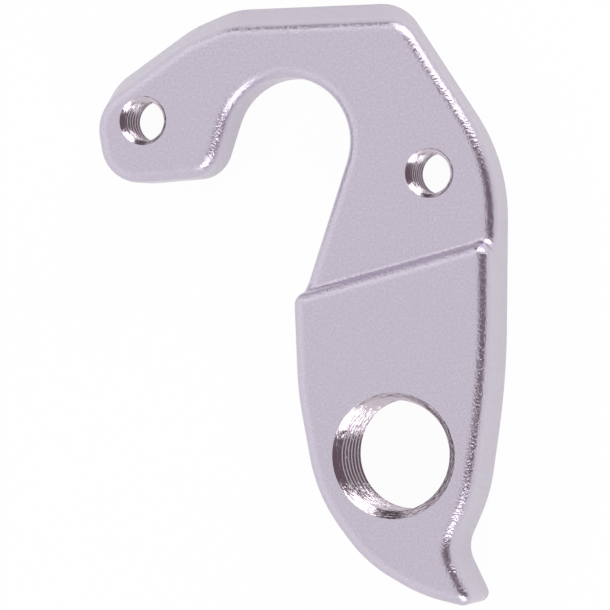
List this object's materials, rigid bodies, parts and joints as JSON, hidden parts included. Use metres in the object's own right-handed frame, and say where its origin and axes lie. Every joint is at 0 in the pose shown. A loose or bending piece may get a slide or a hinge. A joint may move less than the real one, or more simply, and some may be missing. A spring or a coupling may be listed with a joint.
{
  "type": "bicycle derailleur hanger",
  "caption": "Flat machined plate with an open axle slot under a hooked finger, and a thicker stepped lower part with a large threaded hole that ends in a short horn.",
  "frame": {"origin": "axis of the large derailleur thread, where it leaves the flat outer face", "axes": "+Z from the outer face to the inner face, +Y from the horn towards the axle slot, +X away from the finger"},
  "size_m": [0.0345, 0.0491, 0.0072],
  "materials": {
    "anodised_aluminium": "satin, bead-blasted and silver anodised, with bright cut threads"
  },
  "bodies": {
    "root": {"hanger": "anodised_aluminium"}
  },
  "joints": []
}
